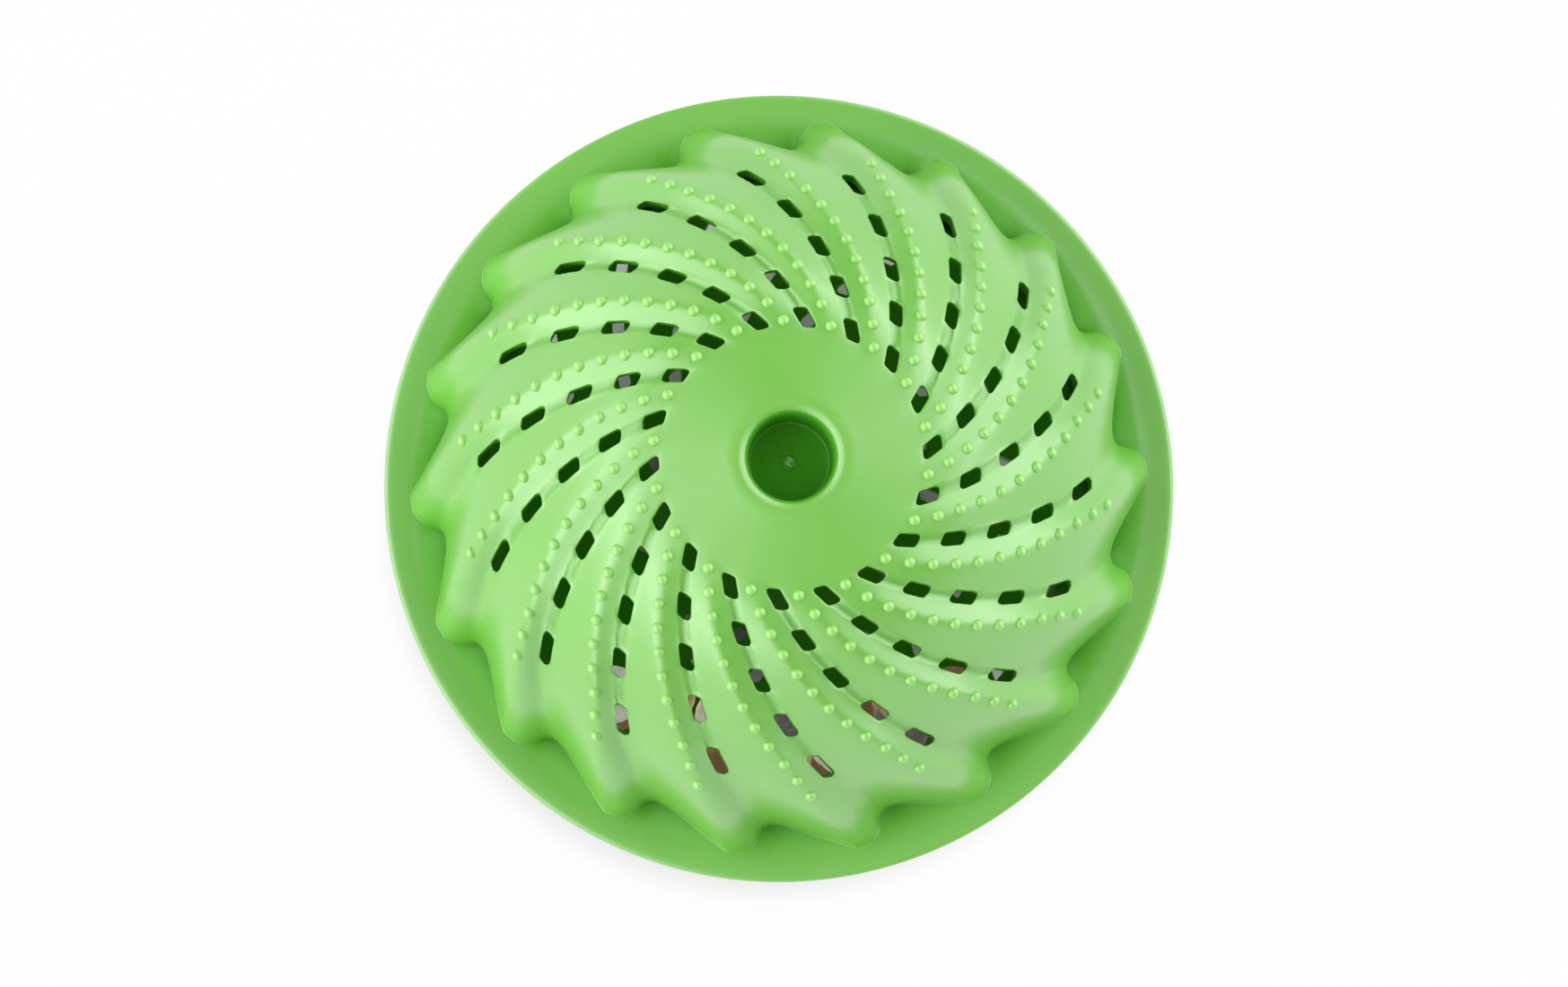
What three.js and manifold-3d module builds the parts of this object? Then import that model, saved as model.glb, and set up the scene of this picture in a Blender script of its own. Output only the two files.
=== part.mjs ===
// Laundry ball: two fluted, slotted half shells that twist together round magnets and loose ceramic pellets.
// Millimetres and degrees. +Z runs up the ball's axis, and the origin is the ball's centre.
import * as THREE from 'three';
import { mergeVertices } from 'three/addons/utils/BufferGeometryUtils.js';
import Module from 'manifold-3d';

const wasm = await Module();
wasm.setup();

// Overall sizes
const ballHeight = 100;
const rimRadius = 55;
const gap = 0.3;

// Flange
const flangeThickness = 2.6;
const beadWidth = 2;
const beadHeight = 0.7;
const rimChamfer = 0.5;
const flangeLand = 3.4;

// Shell and its flutes, whose depth grows by the flare down to the flange
const wall = 2.2;
const hubThickness = 2.5;
const hubRadius = 16.2;
const fluteCount = 18;
const fluteDepth = 1.7;
const fluteFlare = 2.8;
const flareHeight = 22;

// The valleys run along circular arcs in plan, each about a centre beside the axis, and bend on towards the rim
const valleyArcRadius = 39.18;
const valleyArcOffset = 32.4;
const valleyArcAngle = 101.07;
const valleyBend = 5.5;

// Share of a flute's pitch taken by the steep side, at the hub, at the waist of the flutes and at their tips
const steepShareHub = 0.52;
const steepShareWaist = 0.33;
const steepShareTip = 0.745;
const waistRadius = 39.6;

// Slots through the valleys: their width is measured round the axis and their length along a radius
const slotRings = 5;
const slotWidth = 1.94;
const slotLengthInner = 2.55;
const slotLengthOuter = 2.8;
const slotHubMargin = 2.46;
const slotRimMargin = 7.05;
const slotPitchGrowth = 0.1;

// Recess in each hub
const recessRadius = 5.7;
const recessDepth = 9.3;
const recessDraft = 0.6;
const recessFillet = 1;
const recessFloor = 2;

// Magnets, their sockets and caps
const magnetRadius = 6;
const magnetThickness = 4;
const postWall = 1.8;
const capWall = 1.4;
const capSkirt = 3;

// Twist closure
const threadStarts = 3;
const threadLead = 24;
const threadSweep = 40;
const threadPhase = 13;
const ledgeReach = 2.2;
const ledgeThickness = 1.6;
const ledgeHeight = 0.8;
const lugReach = 1.5;
const lugThickness = 1.6;
const collarWall = 1.7;
const collarMargin = 0.5;
const shelfThickness = 2;
const slideGap = 0.4;

// Loose pellets, which lie to one side as in a ball that rests on its rim
const pelletRadius = 4;
const pelletLayers = 7;
const pelletPileDepth = 15.5;

// Facets
const rimSegments = 60;
const innerSegments = 36;
const boreSegments = 24;
const steepSteps = 2;
const gentleSteps = 2;
const skirtSteps = 3;
const threadSteps = 6;
const beadSteps = 3;
const filletSteps = 2;
const pelletDetail = 1;

// Sizes that follow from the ones above
const hubHeight = ballHeight / 2;
const partingHeight = gap / 2;
const landHeight = partingHeight + flangeThickness;
const crestRadius = rimRadius - flangeLand;
const valleyRadius = crestRadius - fluteDepth - fluteFlare;
const domeHeight = hubHeight / Math.sqrt(1 - (hubRadius / valleyRadius) ** 2);
const cavityRadius = valleyRadius - wall;
const cavityHeight = domeHeight - wall;
const cavityRoof = hubHeight - hubThickness;
const recessFloorHeight = hubHeight - recessDepth;
const socketRadius = magnetRadius + gap;
const socketRoof = recessFloorHeight - recessFloor;
const postRadius = Math.max(recessRadius, socketRadius) + postWall;
const postEnd = socketRoof - gap - magnetThickness - gap;
const capRadius = postRadius + gap + capWall;
const ledgeRadius = cavityRadius - ledgeReach;
const collarRadius = ledgeRadius - slideGap;
const wallMiddleRadius = cavityRadius + wall / 2;
const threadRise = threadLead * threadSweep / 360;
const lugHeight = ledgeHeight + ledgeThickness + slideGap;
const collarTop = lugHeight + lugThickness + threadRise + collarMargin;
const shelfTop = -partingHeight - gap;
const flutePitch = 2 * Math.PI / fluteCount;
const slotRadiusInner = hubRadius + slotHubMargin;
const slotPitch = (valleyRadius - slotRimMargin - slotRadiusInner) / (slotRings - 1);
const slotWidening = slotPitchGrowth / 2;

// Colours
const shellGreen = new THREE.MeshStandardMaterial({ color: 0x86cb60, roughness: 0.42, metalness: 0 });
const capGreen = new THREE.MeshStandardMaterial({ color: 0x76bd52, roughness: 0.45, metalness: 0 });
const ferrite = new THREE.MeshStandardMaterial({ color: 0x34343a, roughness: 0.5, metalness: 0.3 });
const pelletKinds = [
  { name: 'grey', material: new THREE.MeshStandardMaterial({ color: 0x77736f, roughness: 0.85, metalness: 0 }) },
  { name: 'terracotta', material: new THREE.MeshStandardMaterial({ color: 0x8f5638, roughness: 0.85, metalness: 0 }) },
  { name: 'tan', material: new THREE.MeshStandardMaterial({ color: 0xb59a72, roughness: 0.85, metalness: 0 }) },
  { name: 'white', material: new THREE.MeshStandardMaterial({ color: 0xddd7ca, roughness: 0.8, metalness: 0 }) },
];

// A closed solid from vertices and triangles, turned right side out
function solidFrom(positions, triangles) {
  const corner = (index) => new THREE.Vector3().fromArray(positions, 3 * index);
  let volume = 0;
  for (let t = 0; t < triangles.length; t += 3) {
    volume += corner(triangles[t]).dot(corner(triangles[t + 1]).cross(corner(triangles[t + 2])));
  }
  const triVerts = Uint32Array.from(triangles);
  if (volume < 0) triVerts.reverse();
  const vertProperties = Float32Array.from(positions);
  return new wasm.Manifold(new wasm.Mesh({ numProp: 3, vertProperties, triVerts }));
}

// A closed solid from a geometry, with its shared vertices merged and its empty triangles dropped
function solidOf(geometry) {
  const bare = geometry.clone();
  bare.deleteAttribute('normal');
  bare.deleteAttribute('uv');
  const merged = mergeVertices(bare, 1e-4);
  const index = merged.index.array;
  const triangles = [];
  for (let t = 0; t < index.length; t += 3) {
    const [a, b, c] = [index[t], index[t + 1], index[t + 2]];
    if (a !== b && b !== c && c !== a) triangles.push(a, b, c);
  }
  return solidFrom(merged.attributes.position.array, triangles);
}

// A solid of revolution about Z, from [radius, height] points
function turned(profile, segments) {
  const points = profile.map(([radius, height]) => new THREE.Vector2(radius, height));
  return solidOf(new THREE.LatheGeometry(points, segments).rotateX(Math.PI / 2));
}

// A closed solid through sections that have the same number of points, with flat ends
function lofted(sections) {
  const size = sections[0].length;
  const positions = sections.flat().flatMap((point) => point.toArray());
  const triangles = [];
  for (let s = 0; s + 1 < sections.length; s += 1) {
    for (let i = 0; i < size; i += 1) {
      const [a, b] = [s * size + i, s * size + (i + 1) % size];
      triangles.push(a, b, a + size, b, b + size, a + size);
    }
  }
  const last = (sections.length - 1) * size;
  for (let i = 1; i + 1 < size; i += 1) {
    triangles.push(0, i + 1, i, last, last + i, last + i + 1);
  }
  return solidFrom(positions, triangles);
}

function meshOf(name, solid, material) {
  const { vertProperties, triVerts } = solid.getMesh();
  const geometry = new THREE.BufferGeometry();
  geometry.setAttribute('position', new THREE.BufferAttribute(vertProperties, 3));
  geometry.setIndex(new THREE.BufferAttribute(triVerts, 1));
  geometry.computeVertexNormals();
  const mesh = new THREE.Mesh(geometry, material);
  mesh.name = name;
  return mesh;
}

function polar(radius, angle, height) {
  return new THREE.Vector3(radius * Math.cos(angle), radius * Math.sin(angle), height);
}

// How far a radius lies beyond the waist, as a share of the way to the tips
const beyondWaist = (radius) => Math.max(0, radius - waistRadius) / (crestRadius - waistRadius);

// Angle of a valley at a radius: on its circular arc in plan, with the bend beyond the waist
function valleyAngle(radius) {
  const adjacent = radius ** 2 + valleyArcOffset ** 2 - valleyArcRadius ** 2;
  const onArc = valleyArcAngle - THREE.MathUtils.radToDeg(Math.acos(adjacent / (2 * radius * valleyArcOffset)));
  return THREE.MathUtils.degToRad(onArc + valleyBend * beyondWaist(radius) ** 2);
}

// Share of the pitch on the steep side, which narrows from the hub to the waist and widens to the tips
function steepShare(radius) {
  const inward = Math.max(0, radius - hubRadius) / (waistRadius - hubRadius);
  const narrowing = (steepShareHub - steepShareWaist) * Math.min(1, inward) ** 1.5;
  return steepShareHub - narrowing + (steepShareTip - steepShareWaist) * beyondWaist(radius) ** 2;
}

// The columns of one flute: from the crest down the steep side, then up the gentle side
function fluteColumns() {
  const columns = [];
  for (let i = 0; i < steepSteps; i += 1) columns.push({ steep: true, along: i / steepSteps });
  for (let i = 0; i < gentleSteps; i += 1) columns.push({ steep: false, along: i / gentleSteps });
  return columns;
}

// A point of the dome's outside at a height, in one column of one flute
function domePoint(column, flute, height) {
  const fall = (1 - Math.cos(Math.PI * column.along)) / 2;
  const swell = column.steep ? 1 - fall : fall;
  const flare = THREE.MathUtils.clamp(1 - (height - landHeight) / flareHeight, 0, 1);
  const valley = valleyRadius * Math.sqrt(1 - (height / domeHeight) ** 2);
  const radius = valley + (fluteDepth + fluteFlare * flare ** 2) * swell;
  const share = steepShare(radius);
  const turn = column.steep ? (column.along - 1) * share : column.along * (1 - share);
  return polar(radius, valleyAngle(radius) + (flute + turn) * flutePitch, height);
}

// Radius of a ring of slots, whose spacing grows a little towards the rim
function slotRadius(ring) {
  return slotRadiusInner + ring * (slotPitch + slotWidening * (ring - slotRings + 1));
}

// Tilts from the axis of an oval's facets: one facet for each ring of slots, then a skirt down to the mouth
function facetTilts(ovalRadius, firstTilt, mouthTilt) {
  const tilts = [firstTilt];
  for (let ring = 0; ring < slotRings; ring += 1) {
    tilts.push(Math.asin(slotRadius(ring + 0.5) / ovalRadius));
  }
  const lastBand = tilts[slotRings];
  for (let s = 1; s <= skirtSteps; s += 1) tilts.push(THREE.MathUtils.lerp(lastBand, mouthTilt, s / skirtSteps));
  return tilts;
}

// The dome's outside as a solid that stands on the parting plane
function dome() {
  const columns = fluteColumns();
  const tilts = facetTilts(valleyRadius, Math.acos(hubHeight / domeHeight), Math.acos(partingHeight / domeHeight));
  return lofted(tilts.map((tilt) => {
    const section = [];
    for (let flute = 0; flute < fluteCount; flute += 1) {
      for (const column of columns) section.push(domePoint(column, flute, domeHeight * Math.cos(tilt)));
    }
    return section;
  }));
}

// The flange: a flat land with a rounded bead at its rim
function flange() {
  const profile = [[0, partingHeight], [rimRadius - rimChamfer, partingHeight]];
  profile.push([rimRadius, partingHeight + rimChamfer]);
  for (let s = 0; s <= beadSteps; s += 1) {
    const angle = Math.PI * s / beadSteps;
    const radius = rimRadius - beadWidth * (1 - Math.cos(angle)) / 2;
    profile.push([radius, landHeight + beadHeight * Math.sin(angle)]);
  }
  profile.push([0, landHeight]);
  return turned(profile, rimSegments);
}

// The hollow inside a half shell
function cavity() {
  const profile = [[0, cavityRoof]];
  for (const tilt of facetTilts(cavityRadius, Math.acos(cavityRoof / cavityHeight), Math.PI / 2)) {
    profile.push([cavityRadius * Math.sin(tilt), cavityHeight * Math.cos(tilt)]);
  }
  profile.push([cavityRadius, -flangeThickness], [0, -flangeThickness]);
  return turned(profile, innerSegments);
}

// The post behind the hub, solid until its recess and socket are cut
function post() {
  const top = hubHeight - hubThickness / 2;
  return turned([[0, postEnd], [postRadius, postEnd], [postRadius, top], [0, top]], boreSegments);
}

function recess() {
  const profile = [[0, recessFloorHeight], [recessRadius - recessDraft, recessFloorHeight]];
  for (let s = 0; s <= filletSteps; s += 1) {
    const angle = Math.PI / 2 * s / filletSteps;
    const radius = recessRadius + recessFillet * (1 - Math.cos(angle));
    profile.push([radius, hubHeight - recessFillet * (1 - Math.sin(angle))]);
  }
  profile.push([recessRadius + recessFillet, hubHeight + recessFillet], [0, hubHeight + recessFillet]);
  return turned(profile, boreSegments);
}

function socket() {
  const below = postEnd - capWall;
  return turned([[0, below], [socketRadius, below], [socketRadius, socketRoof], [0, socketRoof]], boreSegments);
}

// One slot: a straight cut along Z whose sides follow the valley and whose ends lie on two circles
function slot(ring, flute) {
  const along = ring / (slotRings - 1);
  const middle = slotRadius(ring);
  const length = THREE.MathUtils.lerp(slotLengthInner, slotLengthOuter, along);
  const [inner, outer] = [middle - length / 2, middle + length / 2];
  const halfWidth = slotWidth / 2;
  const below = cavityHeight * Math.sqrt(Math.max(0, 1 - (outer / cavityRadius) ** 2)) - wall;
  return lofted([below, domeHeight + wall].map((height) => [
    [inner, -halfWidth], [outer, -halfWidth], [outer, halfWidth], [inner, halfWidth],
  ].map(([radius, side]) => polar(radius, valleyAngle(radius) + side / radius + flute * flutePitch, height))));
}

// A half shell with its hub up, without its part of the twist closure
function halfShell() {
  let shell = dome().add(flange()).subtract(cavity()).add(post());
  shell = shell.subtract(recess()).subtract(socket());
  for (let flute = 0; flute < fluteCount; flute += 1) {
    for (let ring = 0; ring < slotRings; ring += 1) shell = shell.subtract(slot(ring, flute));
  }
  return shell;
}

// A bar that climbs round the axis along the closure's thread
function threadBar(innerRadius, outerRadius, foot, thickness, start) {
  const sections = [];
  for (let s = 0; s <= threadSteps; s += 1) {
    const turn = start + THREE.MathUtils.degToRad(threadSweep) * s / threadSteps;
    const low = foot + threadRise * s / threadSteps;
    sections.push([
      polar(innerRadius, turn, low), polar(outerRadius, turn, low),
      polar(outerRadius, turn, low + thickness), polar(innerRadius, turn, low + thickness),
    ]);
  }
  return lofted(sections);
}

const threadStart = (k) => THREE.MathUtils.degToRad(threadPhase + 360 * k / threadStarts);

// The upper shell: ledges on the inside of its mouth hook under the collar's lugs
function upperShell() {
  let shell = halfShell();
  for (let k = 0; k < threadStarts; k += 1) {
    shell = shell.add(threadBar(ledgeRadius, wallMiddleRadius, ledgeHeight, ledgeThickness, threadStart(k)));
  }
  return shell;
}

// The lower shell: a collar stands on a coned shelf inside its mouth and carries the lugs
function lowerShell() {
  const innerRadius = collarRadius - collarWall;
  const shelfFoot = shelfTop - shelfThickness;
  const collar = turned([
    [innerRadius, shelfFoot], [wallMiddleRadius, shelfFoot - (wallMiddleRadius - innerRadius)],
    [wallMiddleRadius, shelfTop], [collarRadius, shelfTop], [collarRadius, collarTop],
    [innerRadius, collarTop], [innerRadius, shelfFoot],
  ], innerSegments);
  const halfFacet = 180 / innerSegments;
  let shell = halfShell().rotate([180, 0, 0]).add(collar.rotate([0, 0, halfFacet]));
  const collarMiddle = collarRadius - collarWall / 2;
  for (let k = 0; k < threadStarts; k += 1) {
    shell = shell.add(threadBar(collarMiddle, collarRadius + lugReach, lugHeight, lugThickness, threadStart(k)));
  }
  return shell;
}

// The disc magnet in the upper post
function magnet() {
  const low = postEnd + gap;
  const high = low + magnetThickness;
  return turned([[0, low], [magnetRadius, low], [magnetRadius, high], [0, high]], boreSegments);
}

// The cap that fits over the end of the upper post
function magnetCap() {
  const [floorTop, rim] = [postEnd - gap, postEnd + capSkirt];
  const bore = postRadius + gap;
  return turned([
    [0, floorTop - capWall], [capRadius, floorTop - capWall], [capRadius, rim], [bore, rim],
    [bore, floorTop], [0, floorTop],
  ], boreSegments);
}

// Centres of the pellets: layers along the axis, each in arcs that start against the inside of the ball
function pelletPlaces() {
  const spacing = 2 * pelletRadius + gap;
  const reach = pelletRadius + 2 * gap;
  const pileFace = cavityRadius - pelletPileDepth;
  const downhill = -Math.PI / 2;
  const places = [];
  for (let layer = 0; layer < pelletLayers; layer += 1) {
    const height = (layer - (pelletLayers - 1) / 2) * spacing;
    const besideCollar = Math.abs(height) < collarTop + reach;
    const oval = (cavityRadius - reach) * Math.sqrt(1 - (height / (cavityHeight - reach)) ** 2);
    const outermost = besideCollar ? collarRadius - collarWall - reach : oval;
    for (let radius = outermost; radius >= pileFace; radius -= spacing) {
      const step = 2 * Math.asin(spacing / (2 * radius));
      const perSide = Math.floor(Math.acos(pileFace / radius) / step);
      for (let i = -perSide; i <= perSide; i += 1) places.push(polar(radius, downhill + i * step, height));
    }
  }
  return places;
}

function addPellets(group) {
  const made = pelletKinds.map(() => 0);
  pelletPlaces().forEach((place, number) => {
    const kind = number % pelletKinds.length;
    const { name, material } = pelletKinds[kind];
    made[kind] += 1;
    const pellet = meshOf(
      `${name}_pellet_${String(made[kind]).padStart(2, '0')}`,
      solidOf(new THREE.IcosahedronGeometry(pelletRadius, pelletDetail)),
      material,
    );
    pellet.position.copy(place);
    group.add(pellet);
  });
}

const ball = new THREE.Group();

const upperMagnet = meshOf('upper_magnet', magnet(), ferrite);
const upperCap = meshOf('upper_magnet_cap', magnetCap(), capGreen);
ball.add(meshOf('upper_shell', upperShell(), shellGreen), upperMagnet, upperCap);

const lowerFittings = new THREE.Group();
lowerFittings.rotation.x = Math.PI;
lowerFittings.add(meshOf('lower_magnet', magnet(), ferrite), meshOf('lower_magnet_cap', magnetCap(), capGreen));
ball.add(meshOf('lower_shell', lowerShell(), shellGreen), lowerFittings);

addPellets(ball);

export default ball;
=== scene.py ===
# Looks of a laundry ball: fine moulded shells, ceramic pellets, finishes, studio and camera.
# Shapes are worked out in millimetres in the part's frame, and become metres where a mesh is made.
import math

import bmesh
import bpy
import numpy as np
from mathutils import Matrix, Vector, noise


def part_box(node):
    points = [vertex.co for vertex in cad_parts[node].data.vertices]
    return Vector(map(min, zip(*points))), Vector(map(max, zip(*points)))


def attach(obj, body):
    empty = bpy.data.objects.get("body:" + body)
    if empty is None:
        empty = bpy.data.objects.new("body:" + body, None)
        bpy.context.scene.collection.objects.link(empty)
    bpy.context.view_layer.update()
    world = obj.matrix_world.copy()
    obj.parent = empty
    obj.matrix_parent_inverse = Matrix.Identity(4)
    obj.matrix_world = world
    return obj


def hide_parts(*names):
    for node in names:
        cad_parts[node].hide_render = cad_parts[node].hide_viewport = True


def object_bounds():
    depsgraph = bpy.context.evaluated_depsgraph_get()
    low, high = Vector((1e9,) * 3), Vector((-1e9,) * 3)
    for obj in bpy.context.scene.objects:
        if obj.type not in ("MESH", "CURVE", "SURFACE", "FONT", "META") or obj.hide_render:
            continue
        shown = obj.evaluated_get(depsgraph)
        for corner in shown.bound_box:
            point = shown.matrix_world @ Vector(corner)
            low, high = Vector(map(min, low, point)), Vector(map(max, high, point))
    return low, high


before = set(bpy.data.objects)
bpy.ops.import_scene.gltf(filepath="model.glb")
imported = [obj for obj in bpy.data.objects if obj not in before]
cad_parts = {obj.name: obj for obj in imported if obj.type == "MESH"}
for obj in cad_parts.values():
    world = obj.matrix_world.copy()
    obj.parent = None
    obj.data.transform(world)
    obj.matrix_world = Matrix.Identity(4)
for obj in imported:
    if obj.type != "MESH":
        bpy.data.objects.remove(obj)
CAD_LOW, CAD_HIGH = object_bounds()
MILLIMETRE = 0.001

# Overall sizes, from the solids
HUB_HEIGHT = CAD_HIGH.z / MILLIMETRE
RIM_RADIUS = CAD_HIGH.x / MILLIMETRE
PARTING_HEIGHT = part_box("upper_shell")[0].z / MILLIMETRE

# Flange, whose top falls from the lip's bead into a dish at the valleys
FLANGE_THICKNESS = 2.6
LAND_HEIGHT = PARTING_HEIGHT + FLANGE_THICKNESS
FLANGE_LAND = 3.4
BEAD_HEIGHT = 0.5
LIP_TOP = LAND_HEIGHT + BEAD_HEIGHT
LIP_ROUND = 0.55
LIP_RADIUS = RIM_RADIUS - LIP_ROUND
DISH_DEPTH = 1.5
DISH_POWER = 3
OPEN_FLANGE = 2.1
BASE_FILLETS = (0.08, 0.12)
RIM_ROUND = 0.5

# Shell and flutes
WALL = 2.2
HUB_THICKNESS = 2.5
HUB_RADIUS = 16.2
HUB_BLEND = 0.45
HUB_FALL = 1.2
FLUTES = 18
FLUTE_DEPTH = 1.7
FLUTE_FLARE = 2.8
FLARE_STEADY_SHARE = 0.6
FLARE_STEADY_HEIGHT = 34.0
FLARE_FOOT_HEIGHT = 8.0
CREST_ROUNDS = (0.16, 0.28)
VALLEY_ROUND = 0.4
FLUTE_PITCH = 2 * math.pi / FLUTES
CREST_RADIUS = RIM_RADIUS - FLANGE_LAND
VALLEY_RADIUS = CREST_RADIUS - FLUTE_DEPTH - FLUTE_FLARE
DOME_HEIGHT = HUB_HEIGHT / math.sqrt(1 - (HUB_RADIUS / VALLEY_RADIUS) ** 2)
CAVITY_RADIUS = VALLEY_RADIUS - WALL
CAVITY_HEIGHT = DOME_HEIGHT - WALL
CAVITY_ROOF = HUB_HEIGHT - HUB_THICKNESS

# The valleys run along circular arcs in plan, and bend on towards the rim
VALLEY_ARC_RADIUS = 39.18
VALLEY_ARC_OFFSET = 32.4
VALLEY_ARC_ANGLE = math.radians(101.07)
VALLEY_BEND = math.radians(5.5)
BASE_SWING = math.radians(1.5)

# Share of a flute's pitch on its steep side
STEEP_SHARE_HUB = 0.52
STEEP_SHARE_WAIST = 0.33
STEEP_SHARE_TIP = 0.745
STEEP_NARROWING_POWER = 1.5
WAIST_RADIUS = 39.6

# Slots through the valleys, with widths measured round the axis, and the groove that links a row of them
SLOT_RINGS = 5
SLOT_WIDTH = 2.18
SLOT_LENGTHS = (2.67, 2.92)
SLOT_PITCH_GROWTH = 0.1
FIRST_SLOT_FROM_HUB = 2.46
LAST_SLOT_FROM_FOOT = 7.05
SLOT_NUMBERS = np.arange(SLOT_RINGS)
SLOT_RADII = np.linspace(HUB_RADIUS + FIRST_SLOT_FROM_HUB, VALLEY_RADIUS - LAST_SLOT_FROM_FOOT, SLOT_RINGS)
SLOT_RADII += SLOT_PITCH_GROWTH / 2 * SLOT_NUMBERS * (SLOT_NUMBERS - SLOT_RINGS + 1)
SLOTS_START = SLOT_RADII[0] - SLOT_LENGTHS[0] / 2
SLOTS_END = SLOT_RADII[-1] + SLOT_LENGTHS[-1] / 2
SLOT_EDGE_ROUND = 0.14
SLOT_CORNER_ROUND = 0.48
GROOVE_DEPTH = 0.3
GROOVE_EDGE = 0.8
GROOVE_SOFTNESS = 1.5

# Nubs along the crests
NUBS_PER_FLUTE = 12
NUB_RADIUS = 0.78
NUB_HEIGHT = 0.66
NUB_SINK = 0.3
NUB_FIRST_RADIUS = 18.15
NUB_STEP = 2.62
NUB_STEP_LOSS = 0.026
NUB_SIDES = 14
NUB_RINGS = 4

# Recess in each hub with its gate mark, and the post and socket behind it
RECESS_RADIUS = 5.7
RECESS_DEPTH = 9.3
RECESS_DRAFT = 0.3
RECESS_FILLET = 1.4
RECESS_FLOOR_ROUND = 0.2
RECESS_FLOOR = HUB_HEIGHT - RECESS_DEPTH
RECESS_MOUTH_RADIUS = RECESS_RADIUS + RECESS_FILLET
GATE_RADIUS = 1.1
GATE_HEIGHT = 0.5
GATE_STEEPNESS = 3
GATE_LUMPS = 0.9
GATE_LUMPS_PER_MILLIMETRE = 1.7
SOCKET_RADIUS = 6.3
SOCKET_CLEARANCE = 0.3
SOCKET_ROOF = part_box("upper_magnet")[1].z / MILLIMETRE + SOCKET_CLEARANCE
POST_RADIUS = 8.1
POST_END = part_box("upper_magnet")[0].z / MILLIMETRE - SOCKET_CLEARANCE

# Twist closure
THREAD_STARTS = 3
THREAD_LEAD = 24.0
THREAD_SWEEP = math.radians(40)
THREAD_PHASE = math.radians(13)
THREAD_STEPS = 16
THREAD_CLEARANCE = 0.4
THREAD_RISE = THREAD_LEAD * THREAD_SWEEP / (2 * math.pi)
LEDGE_REACH = 2.2
LEDGE_RADIUS = CAVITY_RADIUS - LEDGE_REACH
LEDGE_FOOT = 0.8
LEDGE_THICKNESS = 1.6
LUG_REACH = 1.5
LUG_FOOT = LEDGE_FOOT + LEDGE_THICKNESS + THREAD_CLEARANCE
LUG_THICKNESS = 1.6
COLLAR_RADIUS = LEDGE_RADIUS - THREAD_CLEARANCE
COLLAR_WALL = 1.7
COLLAR_MARGIN = 0.5
COLLAR_TOP = LUG_FOOT + LUG_THICKNESS + THREAD_RISE + COLLAR_MARGIN
COLLAR_SEGMENTS = 120
SHELF_DROP = 0.3
SHELF_TOP = -PARTING_HEIGHT - SHELF_DROP
SHELF_THICKNESS = 2.0
WALL_MIDDLE_RADIUS = CAVITY_RADIUS + WALL / 2

# Columns of the shell's mesh round one flute: crest, steep side, slot strip, gentle side
STEEP_COLUMNS = 6
GENTLE_COLUMNS = 7
STEEP_PLACES = np.arange(STEEP_COLUMNS) / STEEP_COLUMNS
STRIP_PLACES = np.array([-1, -0.85, -0.7, -0.46, 0, 0.46, 0.7, 0.85, 1])
GENTLE_PLACES = np.arange(1, GENTLE_COLUMNS + 1) / (GENTLE_COLUMNS + 1)
STEEP, STRIP, GENTLE = 0, 1, 2
FLUTE_KINDS = [STEEP] * STEEP_COLUMNS + [STRIP] * len(STRIP_PLACES) + [GENTLE] * GENTLE_COLUMNS
FLUTE_PLACES = np.concatenate([STEEP_PLACES, STRIP_PLACES, GENTLE_PLACES])
FLUTE_COLUMNS = len(FLUTE_PLACES)
COLUMN_KIND = np.tile(FLUTE_KINDS, FLUTES)
COLUMN_PLACE = np.tile(FLUTE_PLACES, FLUTES)
COLUMN_FLUTE = np.repeat(np.arange(FLUTES), FLUTE_COLUMNS)
COLUMNS = len(COLUMN_KIND)
GROOVE_COLUMN = (COLUMN_KIND == STRIP) & (np.abs(COLUMN_PLACE) < GROOVE_EDGE)
GROOVE_SHARE = np.maximum(0, 1 - (COLUMN_PLACE / GROOVE_EDGE) ** 2) ** GROOVE_SOFTNESS

# Rows of the shell's mesh: shares of the way across what they cover, counts, and where the skirt starts
GATE_SHARES = (0.2, 0.36, 0.52, 0.68, 0.82, 0.94)
RECESS_FLOOR_SHARES = (0.35, 0.6, 0.8)
RECESS_WALL_SHARES = (0.4, 0.75, 1)
HUB_SHARES = np.array([0.15, 0.3, 0.45, 0.6, 0.72, 0.82, 0.9, 0.96])
SLOT_ROWS = np.array([-1, -0.86, -0.68, -0.4, 0, 0.4, 0.68, 0.86, 1])
SLOT_EDGE_ROWS = 2
GAP_ROWS = 4
INNER_GAP_ROWS = 2
SHOULDER_ROWS = 3
SKIRT_RADIUS = 43.2
SKIRT_ROWS = 14
DISH_ROWS = 8
LIP_ROWS = 5
MOUTH_ROWS = 6
ARC_ROWS = 5
SMALL_ARC_ROWS = 3
SHARP_ANGLE = math.radians(50)

# The photograph's camera, in metres and degrees
CAMERA_DISTANCE = 0.77
CAMERA_TILT_X = -4.68
CAMERA_TILT_Y = 1.92
CAMERA_OFFSET = (-0.00068, 0.00076)
CAMERA_LENS = 126.4
CAMERA_SENSOR = 36

# Marks that tell the material where the recess, grooves and nubs are: it paints shade into the recess and
# grooves and light on to the nubs
RECESS_MARK = 0.0
GROOVE_MARK = 0.3
PLAIN_MARK = 0.5
NUB_MARK = 1.0


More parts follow.
